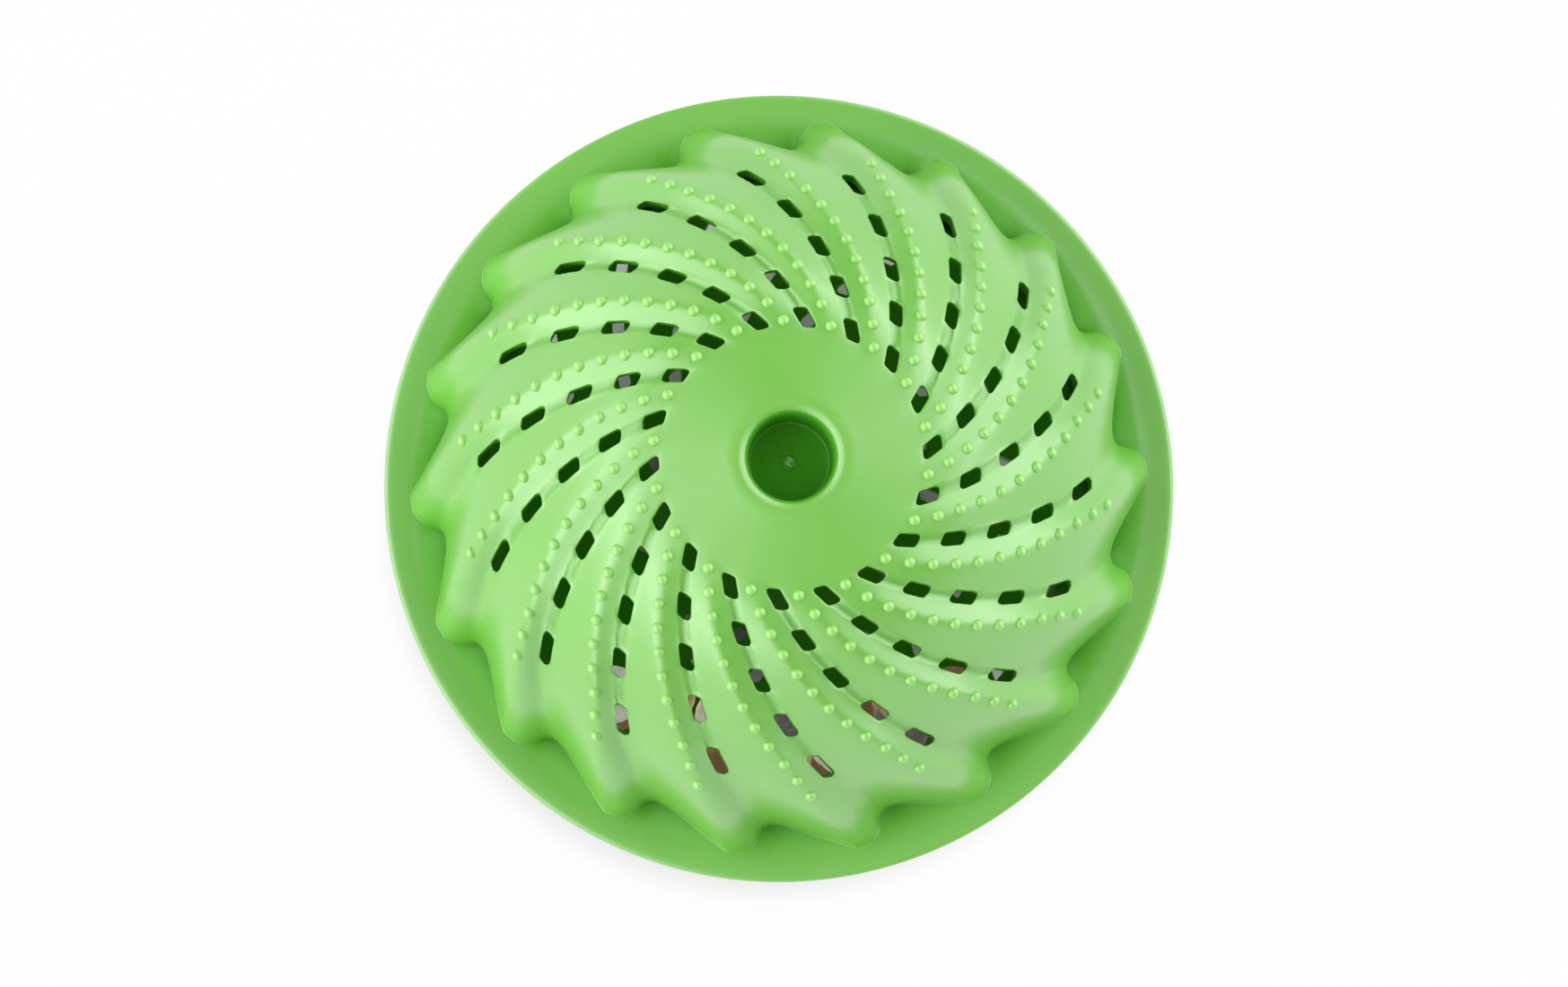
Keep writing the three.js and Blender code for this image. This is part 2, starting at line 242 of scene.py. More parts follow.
class Draft:
    """Points and faces of a mesh while it is being worked out, in millimetres."""

    def __init__(self):
        self.points = []
        self.marks = []
        self.inside = []
        self.faces = []

    def add(self, points, marks=PLAIN_MARK, inside=0.0):
        """Adds points, with marks for the material, and returns their numbers."""
        points = np.asarray(points, float).reshape(-1, 3)
        first = len(self.points)
        self.points.extend(points.tolist())
        self.marks.extend(np.broadcast_to(marks, len(points)).tolist())
        self.inside.extend([inside] * len(points))
        return np.arange(first, len(self.points))

    def bridge(self, row, following, skip=()):
        """Joins two closed rows with quads, except at the columns in skip."""
        size = len(row)
        for column in range(size):
            if column not in skip:
                after = (column + 1) % size
                self.faces.append((row[column], following[column], following[after], row[after]))

    def bridges(self, rows):
        for row, following in zip(rows, rows[1:]):
            self.bridge(row, following)

    def cap(self, row, centre, at_start):
        """Closes a row with triangles to a centre point, which takes the row's mark."""
        tip = self.add([centre], self.marks[row[0]])[0]
        size = len(row)
        for column in range(size):
            edge = (row[column], row[(column + 1) % size])
            self.faces.append((tip, *edge) if at_start else (tip, *edge[::-1]))

    def turn_over(self):
        """Turns all points half a turn about X."""
        self.points = [(x, -y, -z) for x, y, z in self.points]

    def make(self, name, material):
        """Makes the object, without the points that no face uses."""
        used = sorted({int(p) for face in self.faces for p in face})
        place = {p: i for i, p in enumerate(used)}
        points = [tuple(MILLIMETRE * c for c in self.points[p]) for p in used]
        mesh = bpy.data.meshes.new(name)
        mesh.from_pydata(points, [], [tuple(place[int(p)] for p in face) for face in self.faces])
        mesh.polygons.foreach_set("use_smooth", [True] * len(mesh.polygons))
        mesh.set_sharp_from_angle(angle=SHARP_ANGLE)
        mesh.materials.append(material)
        for label, values in (("relief_and_painted_light", self.marks), ("inside", self.inside)):
            attribute = mesh.attributes.new(label, "FLOAT", "POINT")
            attribute.data.foreach_set("value", [values[p] for p in used])
        mesh.validate()
        return show(name, mesh)


def show(name, data):
    """Puts an object with these data into the scene."""
    made = bpy.data.objects.new(name, data)
    bpy.context.scene.collection.objects.link(made)
    return made


def polar(radius, angle, height):
    radius, angle, height = np.broadcast_arrays(radius, angle, height)
    return np.stack([radius * np.cos(angle), radius * np.sin(angle), height], axis=-1)


def beyond_waist(radius):
    """How far a radius lies beyond the waist, as a share of the way to the tips."""
    return np.maximum(0, radius - WAIST_RADIUS) / (CREST_RADIUS - WAIST_RADIUS)


def base_swing(radius):
    """How far a valley swings on towards the foot of the dome, past the slots."""
    share = np.clip((radius - SLOTS_END) / (VALLEY_RADIUS - SLOTS_END), 0, 1)
    return BASE_SWING * share ** 2 * (3 - 2 * share)


def valley_angle(radius):
    """Angle of a valley on its arc. Inside the hub it keeps the angle that it has at the hub's edge."""
    radius = np.maximum(radius, HUB_RADIUS)
    adjacent = radius ** 2 + VALLEY_ARC_OFFSET ** 2 - VALLEY_ARC_RADIUS ** 2
    on_arc = VALLEY_ARC_ANGLE - np.arccos(adjacent / (2 * radius * VALLEY_ARC_OFFSET))
    return on_arc + VALLEY_BEND * beyond_waist(radius) ** 2 + base_swing(radius)


def valley_slant(radius):
    """How far a valley runs round the axis for each millimetre that it runs out."""
    step = 0.01
    return radius * (valley_angle(radius + step) - valley_angle(radius)) / step


def steep_share(radius):
    """Share of the pitch on the steep side: it narrows to the waist and widens to the tips."""
    inward = np.clip((radius - HUB_RADIUS) / (WAIST_RADIUS - HUB_RADIUS), 0, 1)
    narrowing = (STEEP_SHARE_HUB - STEEP_SHARE_WAIST) * inward ** STEEP_NARROWING_POWER
    outward = np.minimum(beyond_waist(radius), 1)
    widening = (STEEP_SHARE_TIP - STEEP_SHARE_WAIST) * outward ** 2
    return STEEP_SHARE_HUB - narrowing + widening + base_swing(radius) / FLUTE_PITCH


def strip_half_turn(radius, edge):
    """Half the slot strip's width, as a share of the pitch, with edge millimetres added to each side."""
    radius = np.maximum(radius, HUB_RADIUS)
    return (SLOT_WIDTH / 2 + edge * np.hypot(1, valley_slant(radius))) / radius / FLUTE_PITCH


def column_turns(radius, edge):
    """Turn of each column from its valley, in pitches."""
    share = steep_share(radius)
    half = strip_half_turn(radius, edge)
    steep = -share + (share - half) * COLUMN_PLACE
    strip = half * COLUMN_PLACE
    gentle = half + (1 - share - half) * COLUMN_PLACE
    return np.choose(COLUMN_KIND, (steep, strip, gentle))


def swell(radius, turns):
    """How far a point stands out between valley, 0, and crest, 1: flat sides, round valley and crest."""
    share = steep_share(radius)
    along = np.where(turns < 0, -turns / share, turns / (1 - share))
    in_valley = np.minimum(along, VALLEY_ROUND)
    out_of_valley = along - in_valley + in_valley ** 2 / (2 * VALLEY_ROUND)
    crest_round = np.interp(radius, (WAIST_RADIUS, CREST_RADIUS), CREST_ROUNDS)
    over_crest = np.maximum(0, along - 1 + crest_round) ** 2 / (2 * crest_round)
    return (out_of_valley - over_crest) / (1 - VALLEY_ROUND / 2 - crest_round / 2)


def flute_depth(height):
    """How far the crests stand out from the valleys at a height."""
    above_foot = height - LAND_HEIGHT
    steady = np.clip(1 - above_foot / FLARE_STEADY_HEIGHT, 0, 1)
    at_foot = np.clip(1 - above_foot / FLARE_FOOT_HEIGHT, 0, 1)
    flare = FLARE_STEADY_SHARE * steady + (1 - FLARE_STEADY_SHARE) * at_foot ** 2
    return FLUTE_DEPTH + FLUTE_FLARE * flare


def dome_height(radius, turns):
    """Height of the outside at a radius: the fluted oval, blended into the hub's flat cone."""
    out = swell(radius, turns)
    oval = np.full(np.shape(radius), HUB_HEIGHT)
    settling_rounds = 6
    for _ in range(settling_rounds):
        within = np.clip((radius - flute_depth(oval) * out) / VALLEY_RADIUS, 0, 1)
        oval = DOME_HEIGHT * np.sqrt(1 - within ** 2)
    hub = HUB_HEIGHT - HUB_FALL * (radius - RECESS_MOUTH_RADIUS) / (HUB_RADIUS - RECESS_MOUTH_RADIUS)
    return -HUB_BLEND * np.log(np.exp(-(oval - hub) / HUB_BLEND) + 1) + hub


def flange_height(radius):
    """Height of the flange's top, which is level at the lip and falls towards the valleys."""
    inward = np.clip((LIP_RADIUS - radius) / (LIP_RADIUS - VALLEY_RADIUS), 0, 1)
    return LIP_TOP - (DISH_DEPTH + BEAD_HEIGHT) * inward ** DISH_POWER


def cavity_height(radius):
    """Height of the inside at a radius: a plain oval under a flat roof."""
    within = np.minimum(radius / CAVITY_RADIUS, 1)
    return np.minimum(CAVITY_ROOF, CAVITY_HEIGHT * np.sqrt(1 - within ** 2))


def arc(count):
    """Angles of a quarter circle, without its first end."""
    return np.linspace(0, math.pi / 2, count + 1)[1:]


def slot_length(ring):
    return np.interp(ring, (0, SLOT_RINGS - 1), SLOT_LENGTHS)


def rounded_outline(points, half_width, half_length, slant, corner):
    """Moves points of a slanted slot's outline on to one with round corners."""
    across = half_width - corner * math.hypot(1, slant)
    out = half_length - corner
    shift = slant * out
    inset = np.array([
        (-across - shift, -out), (across - shift, -out), (across + shift, out), (shift - across, out),
    ])
    nearest = points
    shortest = np.full(len(points), np.inf)
    for start, end in zip(inset, np.roll(inset, -1, axis=0)):
        side = end - start
        along = np.clip((points - start) @ side / (side @ side), 0, 1)
        spots = start + along[:, None] * side
        distance = np.linalg.norm(points - spots, axis=1)
        closer = distance < shortest
        nearest = np.where(closer[:, None], spots, nearest)
        shortest = np.where(closer, distance, shortest)
    return nearest + corner * (points - nearest) / shortest[:, None]


def slot_row(ring, along, edge):
    """Radius and turn of each column on a row across a ring of slots, whose outline is edge larger."""
    middle = SLOT_RADII[ring]
    slant = float(valley_slant(middle))
    half_length = slot_length(ring) / 2 + edge
    half_width = SLOT_WIDTH / 2 + edge * math.hypot(1, slant)
    radius = np.full(COLUMNS, middle + half_length * along)
    turns = column_turns(radius, edge)
    outline = (COLUMN_KIND == STRIP) & (np.maximum(np.abs(COLUMN_PLACE), abs(along)) >= 1)
    out = np.full(outline.sum(), half_length * along)
    points = np.column_stack([half_width * COLUMN_PLACE[outline] + slant * out, out])
    rounded = rounded_outline(points, half_width, half_length, slant, SLOT_CORNER_ROUND + edge)
    radius[outline] = middle + rounded[:, 1]
    turns[outline] = (rounded[:, 0] - slant * rounded[:, 1]) / radius[outline] / FLUTE_PITCH
    return radius, turns


def column_point(radius, turns, height):
    return polar(radius, valley_angle(radius) + (COLUMN_FLUTE + turns) * FLUTE_PITCH, height)


def in_groove(radius):
    """Which columns lie in the groove between a row's first and last slots."""
    return GROOVE_COLUMN & (radius > SLOT_RADII[0]) & (radius < SLOT_RADII[-1])


def outside_point(radius, turns):
    height = dome_height(radius, turns)
    return column_point(radius, turns, height - GROOVE_DEPTH * GROOVE_SHARE * in_groove(radius))


def inside_point(radius, turns):
    return column_point(radius, turns, cavity_height(radius))


def groove_marks(row):
    """Marks of a row's points, which go over from plain to groove across each groove; the groove mark
    paints shade into the groove.
    """
    grooved = in_groove(np.linalg.norm(row[:, :2], axis=1))
    return PLAIN_MARK + (GROOVE_MARK - PLAIN_MARK) * GROOVE_SHARE * grooved


def lathe_row(radius, height):
    """A round row about the axis, with the columns' turns at the hub's edge."""
    turns = column_turns(np.full(COLUMNS, HUB_RADIUS), SLOT_EDGE_ROUND)
    return column_point(np.full(COLUMNS, radius), turns, np.full(COLUMNS, height))


def gate_rows():
    """Rows and marks of the rough gate mark in the middle of the recess's floor."""
    rows = []
    for share in GATE_SHARES:
        row = lathe_row(GATE_RADIUS * share, RECESS_FLOOR)
        lumps = np.array([noise.noise(Vector(point) * GATE_LUMPS_PER_MILLIMETRE) for point in row])
        row[:, 2] += GATE_HEIGHT * (1 - share ** GATE_STEEPNESS) * (1 + GATE_LUMPS * lumps)
        rows.append((row, GROOVE_MARK))
    return rows


def recess_rows():
    """Rows and marks from the recess's centre to its rim: gate mark, floor, wall and mouth."""
    floor_radius = RECESS_RADIUS - RECESS_DRAFT
    flat_radius = floor_radius - RECESS_FLOOR_ROUND
    wall_foot = RECESS_FLOOR + RECESS_FLOOR_ROUND
    wall_top = HUB_HEIGHT - RECESS_FILLET
    # The recess mark paints shade into the recess: a darker green with almost no gloss. The gate and most
    # of the floor's round take the groove mark and keep their gloss
    profile = [(GATE_RADIUS, RECESS_FLOOR, RECESS_MARK)]
    for share in RECESS_FLOOR_SHARES:
        profile.append((GATE_RADIUS + (floor_radius - GATE_RADIUS) * share, RECESS_FLOOR, RECESS_MARK))
    profile.append((flat_radius, RECESS_FLOOR, RECESS_MARK))
    for angle, mark in zip(arc(SMALL_ARC_ROWS), (GROOVE_MARK, GROOVE_MARK, RECESS_MARK)):
        radius = flat_radius + RECESS_FLOOR_ROUND * math.sin(angle)
        profile.append((radius, wall_foot - RECESS_FLOOR_ROUND * math.cos(angle), mark))
    for share in RECESS_WALL_SHARES:
        height = wall_foot + (wall_top - wall_foot) * share
        profile.append((floor_radius + RECESS_DRAFT * share, height, RECESS_MARK))
    mouth_marks = (RECESS_MARK, RECESS_MARK, PLAIN_MARK, PLAIN_MARK, PLAIN_MARK)
    for angle, mark in zip(arc(len(mouth_marks)), mouth_marks):
        radius = RECESS_MOUTH_RADIUS - RECESS_FILLET * math.cos(angle)
        profile.append((radius, wall_top + RECESS_FILLET * math.sin(angle), mark))
    return gate_rows() + [(lathe_row(radius, height), mark) for radius, height, mark in profile]


def slotted_rows(edge, gap_rows, row_point):
    """Rows over all the rings of slots, from the hub outwards, and the number of each ring's first row."""
    rows = []
    firsts = []
    for ring in range(SLOT_RINGS):
        firsts.append(len(rows))
        for along in SLOT_ROWS:
            rows.append(row_point(*slot_row(ring, along, edge)))
        if ring + 1 < SLOT_RINGS:
            low = SLOT_RADII[ring] + slot_length(ring) / 2 + edge
            high = SLOT_RADII[ring + 1] - slot_length(ring + 1) / 2 - edge
            for step in range(1, gap_rows):
                radius = np.full(COLUMNS, low + (high - low) * step / gap_rows)
                rows.append(row_point(radius, column_turns(radius, edge)))
    return rows, firsts


def plain_rows(radii, edge, row_point):
    """Rows at the given radii, on the columns of slots whose outline is edge larger."""
    rows = []
    for value in radii:
        radius = np.full(COLUMNS, value)
        rows.append(row_point(radius, column_turns(radius, edge)))
    return rows


def wall_radius(radius, height):
    """Radius of each column on the dome's steep wall at a height, found from a near one."""
    oval = VALLEY_RADIUS * np.sqrt(1 - (height / DOME_HEIGHT) ** 2)
    settling_rounds = 12
    for _ in range(settling_rounds):
        radius = oval + flute_depth(height) * swell(radius, column_turns(radius, SLOT_EDGE_ROUND))
    return radius


def base_fillet(foot):
    """Radius of the fillet at each column's foot, from the valleys' to the tips'."""
    return np.interp(swell(foot, column_turns(foot, SLOT_EDGE_ROUND)), (0, 1), BASE_FILLETS)


def hub_rows():
    """Rows over the hub, between the recess's mouth and the first slots."""
    hub_edge = SLOTS_START - SLOT_EDGE_ROUND
    radii = RECESS_MOUTH_RADIUS + (hub_edge - RECESS_MOUTH_RADIUS) * HUB_SHARES
    return plain_rows(radii, SLOT_EDGE_ROUND, outside_point)


def shoulder_rows():
    """Rows between the last slots and the dome's steep outer part."""
    radii = np.linspace(SLOTS_END + SLOT_EDGE_ROUND, SKIRT_RADIUS, SHOULDER_ROWS + 1)[1:]
    return plain_rows(radii, SLOT_EDGE_ROUND, outside_point)


def skirt_rows():
    """Rows down the steep outer part of the dome, to the top of the fillet at its base."""
    radius = np.full(COLUMNS, SKIRT_RADIUS)
    start = np.arccos(dome_height(radius, column_turns(radius, SLOT_EDGE_ROUND)) / DOME_HEIGHT)
    foot = wall_radius(radius, LAND_HEIGHT)
    end = np.arccos((flange_height(foot) + base_fillet(foot)) / DOME_HEIGHT)
    rows = []
    for step in range(1, SKIRT_ROWS + 1):
        height = DOME_HEIGHT * np.cos(start + (end - start) * step / SKIRT_ROWS)
        radius = wall_radius(radius, height)
        rows.append(column_point(radius, column_turns(radius, SLOT_EDGE_ROUND), height))
    return rows


def base_rows(wall_row):
    """Rows of the fillet at the dome's base, outwards from the wall's last row."""
    fillet = base_fillet(np.linalg.norm(wall_row[:, :2], axis=1))
    along = np.roll(wall_row, -1, axis=0) - np.roll(wall_row, 1, axis=0)
    out = np.column_stack([along[:, 1], -along[:, 0]])
    smoothing_rounds = 3
    for _ in range(smoothing_rounds):
        out /= np.linalg.norm(out, axis=1, keepdims=True)
        out = (np.roll(out, 1, axis=0) + 2 * out + np.roll(out, -1, axis=0)) / 4
    rows = []
    for turn in arc(ARC_ROWS):
        spot = wall_row[:, :2] + (fillet * (1 - math.cos(turn)))[:, None] * out
        height = flange_height(np.linalg.norm(spot, axis=1)) + fillet * (1 - math.sin(turn))
        rows.append(np.column_stack([spot, height]))
    return rows


def rim_rows(base_row):
    """Rows over the flange's dish, lip and side, to the parting face at the mouth."""
    angle = np.arctan2(base_row[:, 1], base_row[:, 0])
    inner = np.linalg.norm(base_row[:, :2], axis=1)
    open_radius = LIP_RADIUS - OPEN_FLANGE
    radii = [inner + (open_radius - inner) * step / DISH_ROWS for step in range(1, DISH_ROWS)]
    radii += list(np.linspace(open_radius, LIP_RADIUS, LIP_ROWS))
    rows = [polar(radius, angle, flange_height(radius)) for radius in radii]
    for turn in arc(ARC_ROWS):
        radius = LIP_RADIUS + LIP_ROUND * math.sin(turn)
        rows.append(polar(radius, angle, LIP_TOP - LIP_ROUND * (1 - math.cos(turn))))
    for turn in (0, *arc(SMALL_ARC_ROWS)):
        radius = RIM_RADIUS - RIM_ROUND * (1 - math.cos(turn))
        rows.append(polar(radius, angle, PARTING_HEIGHT + RIM_ROUND * (1 - math.sin(turn))))
    return rows


def mouth_rows(rim_row, inside_row):
    """Rows from the parting face up the inside of the mouth, to just before the inside's last row."""
    start = np.unwrap(np.arctan2(rim_row[:, 1], rim_row[:, 0]))
    end = np.unwrap(np.arctan2(inside_row[:, 1], inside_row[:, 0]))
    end += np.round((start - end).mean() / (2 * math.pi)) * 2 * math.pi
    rows = [polar(CAVITY_RADIUS, start, PARTING_HEIGHT)]
    inside_radius = np.linalg.norm(inside_row[:, :2], axis=1)
    last_tilt = np.arccos(inside_row[:, 2] / CAVITY_HEIGHT)
    first_tilt = math.pi / 2
    for step in range(1, MOUTH_ROWS):
        share = step / MOUTH_ROWS
        tilt = first_tilt + (last_tilt - first_tilt) * share
        height = np.maximum(CAVITY_HEIGHT * np.cos(tilt), PARTING_HEIGHT)
        inward = (1 - np.sin(tilt)) / (1 - np.sin(last_tilt))
        radius = CAVITY_RADIUS + (inside_radius - CAVITY_RADIUS) * inward
        rows.append(polar(radius, start + (end - start) * share, height))
    return rows


def back_rows():
    """Rows behind the hub: the cavity's roof, the post and the magnet's socket."""
    roof_edge = CAVITY_RADIUS * math.sqrt(1 - (CAVITY_ROOF / CAVITY_HEIGHT) ** 2)
    profile = (
        (roof_edge, CAVITY_ROOF), (POST_RADIUS, CAVITY_ROOF), (POST_RADIUS, POST_END),
        (SOCKET_RADIUS, POST_END), (SOCKET_RADIUS, SOCKET_ROOF), (SOCKET_RADIUS / 4, SOCKET_ROOF),
    )
    return [lathe_row(radius, height) for radius, height in profile]


def slot_boundary():
    """Row and column numbers round a slot's outline, counted from its first corner."""
    last_row = len(SLOT_ROWS) - 1
    last_column = len(STRIP_PLACES) - 1
    outline = [(0, c) for c in range(last_column + 1)]
    outline += [(r, last_column) for r in range(1, last_row + 1)]
    outline += [(last_row, c) for c in range(last_column - 1, -1, -1)]
    outline += [(r, 0) for r in range(last_row - 1, 0, -1)]
    return outline


def add_slot_walls(draft, outer_numbers, inner_numbers):
    """Walls of all slots, with a small round at the outer edge, between the two slotted surfaces."""
    outline = slot_boundary()
    level = np.zeros(COLUMNS)
    for ring in range(SLOT_RINGS):
        lowered = []
        for angle in arc(SLOT_EDGE_ROWS):
            edge = SLOT_EDGE_ROUND * (1 - math.sin(angle))
            drop = SLOT_EDGE_ROUND * (1 - math.cos(angle))
            rows = [column_point(*slot_row(ring, along, edge), level) for along in SLOT_ROWS]
            lowered.append((rows, drop))
        for flute in range(FLUTES):
            first = flute * FLUTE_COLUMNS + STEEP_COLUMNS
            top = [outer_numbers[ring][r][first + c] for r, c in outline]
            loops = [top]
            for rows, drop in lowered:
                points = [rows[r][first + c].copy() for r, c in outline]
                for point, number in zip(points, top):
                    point[2] = draft.points[number][2] - drop
                loops.append(draft.add(points))
            loops.append([inner_numbers[ring][r][first + c] for r, c in outline])
            draft.bridges(loops)


def strip_columns():
    """Columns whose quads lie inside the slots."""
    width = len(STRIP_PLACES) - 1
    return {f * FLUTE_COLUMNS + STEEP_COLUMNS + c for f in range(FLUTES) for c in range(width)}


def join_slotted(draft, numbers, firsts, inward=False):
    """Joins slotted rows with faces that look outwards, or inwards, and leaves the slots open."""
    slots = strip_columns()
    cells = len(SLOT_ROWS) - 1
    open_rows = {first + c for first in firsts for c in range(cells)}
    for index, pair in enumerate(zip(numbers, numbers[1:])):
        row, following = pair[::-1] if inward else pair
        draft.bridge(row, following, slots if index in open_rows else ())


def half_shell():
    """One half shell with its hub up, as a closed mesh."""
    draft = Draft()
    recess = [draft.add(row, mark) for row, mark in recess_rows()]
    hub = [draft.add(row) for row in hub_rows()]
    outer_rows, outer_firsts = slotted_rows(SLOT_EDGE_ROUND, GAP_ROWS, outside_point)
    inner_rows, inner_firsts = slotted_rows(0, INNER_GAP_ROWS, inside_point)
    inner_rows += plain_rows([SKIRT_RADIUS], 0, inside_point)
    skirt = shoulder_rows() + skirt_rows()
    base = base_rows(skirt[-1])
    rim = rim_rows(base[-1])
    mouth = mouth_rows(rim[-1], inner_rows[-1])
    outside = [draft.add(row, groove_marks(row)) for row in outer_rows]
    edge = [draft.add(row) for row in skirt + base + rim + mouth]
    inside = [draft.add(row, inside=1.0) for row in inner_rows]
    back = [draft.add(row, inside=1.0) for row in back_rows()]

    draft.cap(recess[0], (0, 0, RECESS_FLOOR + GATE_HEIGHT), at_start=True)
    draft.bridges(recess + hub + outside[:1])
    join_slotted(draft, outside, outer_firsts)
    draft.bridges(outside[-1:] + edge + inside[-1:])
    join_slotted(draft, inside, inner_firsts, inward=True)
    draft.bridges(inside[:1] + back)
    draft.cap(back[-1], (0, 0, SOCKET_ROOF), at_start=False)

    size = len(SLOT_ROWS)
    add_slot_walls(
        draft,
        [outside[first:first + size] for first in outer_firsts],
        [inside[first:first + size] for first in inner_firsts],
    )
    return draft


def dome_point(radius, angle):
    turns = np.array((angle - valley_angle(radius)) / FLUTE_PITCH)
    return polar(radius, angle, float(dome_height(np.array(radius), turns)))


def crest_frame(radius):
    """A crest's point at a radius, with its normal and two directions in the surface."""
    angle = float(valley_angle(radius) - steep_share(radius) * FLUTE_PITCH)
    step = 0.05
    turn = step / radius
    along = dome_point(radius + step, angle) - dome_point(radius - step, angle)
    around = dome_point(radius, angle + turn) - dome_point(radius, angle - turn)
    normal = np.cross(along, around)
    normal /= np.linalg.norm(normal)
    along /= np.linalg.norm(along)
    return dome_point(radius, angle), normal, along, np.cross(normal, along)


def nub_profile():
    """Radius and height of a nub's rows, from its sunk foot to just under its tip."""
    profile = [(NUB_RADIUS, -NUB_SINK)]
    for ring in range(NUB_RINGS):
        angle = math.pi / 2 * ring / NUB_RINGS
        profile.append((NUB_RADIUS * math.cos(angle), NUB_HEIGHT * math.sin(angle)))
    return profile


def add_nubs(draft):
    """Small round nubs along each crest, sunk a little into it."""
    sides = np.linspace(0, 2 * math.pi, NUB_SIDES, endpoint=False)
    for index in range(NUBS_PER_FLUTE):
        radius = NUB_FIRST_RADIUS + NUB_STEP * index - NUB_STEP_LOSS * index ** 2
        centre, normal, along, across = crest_frame(radius)
        around = np.outer(np.cos(sides), along) + np.outer(np.sin(sides), across)
        for flute in range(FLUTES):
            turned = np.array(Matrix.Rotation(flute * FLUTE_PITCH, 3, "Z"))
            rows = []
            for width, height in nub_profile():
                points = centre + height * normal + width * around
                # The nub mark gives the nubs a lighter green, which is painted light
                rows.append(draft.add(points @ turned.T, NUB_MARK))
            draft.bridges(rows[::-1])
            draft.cap(rows[-1], turned @ (centre + NUB_HEIGHT * normal), at_start=True)
            draft.faces.append(tuple(rows[0][::-1]))


def add_thread(draft, inner, outer, foot, thickness):
    """Bars that climb round the axis along the closure's thread, one for each start."""
    for start in range(THREAD_STARTS):
        rows = []
        for step in range(THREAD_STEPS + 1):
            share = step / THREAD_STEPS
            turn = THREAD_PHASE + 2 * math.pi * start / THREAD_STARTS + THREAD_SWEEP * share
            low = foot + THREAD_RISE * share
            high = low + thickness
            corners = ((inner, low), (outer, low), (outer, high), (inner, high))
            rows.append(draft.add([polar(radius, turn, height) for radius, height in corners]))
        draft.bridges(rows)
        draft.faces.append(tuple(rows[0]))
        draft.faces.append(tuple(rows[-1][::-1]))


def add_collar(draft):
    """The collar on its coned shelf inside the lower half's mouth."""
    inner = COLLAR_RADIUS - COLLAR_WALL
    shelf_foot = SHELF_TOP - SHELF_THICKNESS
    section = (
        (inner, shelf_foot), (WALL_MIDDLE_RADIUS, shelf_foot - (WALL_MIDDLE_RADIUS - inner)),
        (WALL_MIDDLE_RADIUS, SHELF_TOP), (COLLAR_RADIUS, SHELF_TOP), (COLLAR_RADIUS, COLLAR_TOP),
        (inner, COLLAR_TOP),
    )
    angles = np.linspace(0, 2 * math.pi, COLLAR_SEGMENTS, endpoint=False)
    rows = [draft.add(polar(radius, angles, height)) for radius, height in section]
    draft.bridges(rows[::-1] + rows[-1:])


def make_shells(material):
    """The two half shells, with the ledges, collar and lugs of their twist closure."""
    for half in ("upper", "lower"):
        draft = half_shell()
        add_nubs(draft)
        if half == "upper":
            add_thread(draft, LEDGE_RADIUS, WALL_MIDDLE_RADIUS, LEDGE_FOOT, LEDGE_THICKNESS)
        else:
            draft.turn_over()
            add_collar(draft)
            lug_root = COLLAR_RADIUS - COLLAR_WALL / 2
            add_thread(draft, lug_root, COLLAR_RADIUS + LUG_REACH, LUG_FOOT, LUG_THICKNESS)
        made = draft.make(f"{half}_half_shell", material)
        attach(made, f"{half}_half")
        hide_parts(f"{half}_shell")


def srgb(red, green, blue):
    """A colour written as 0 to 255 display values, as linear values for a shader."""
    channels = []
    for value in (red, green, blue):
        share = value / 255
        channels.append(share / 12.92 if share <= 0.04045 else ((share + 0.055) / 1.055) ** 2.4)
    return (*channels, 1)


def grey(value):
    """A grey of a linear value, for a shader."""
    return (value, value, value, 1)


# Where most of a noise's values lie
NOISE_RANGE = (0.3, 0.7)


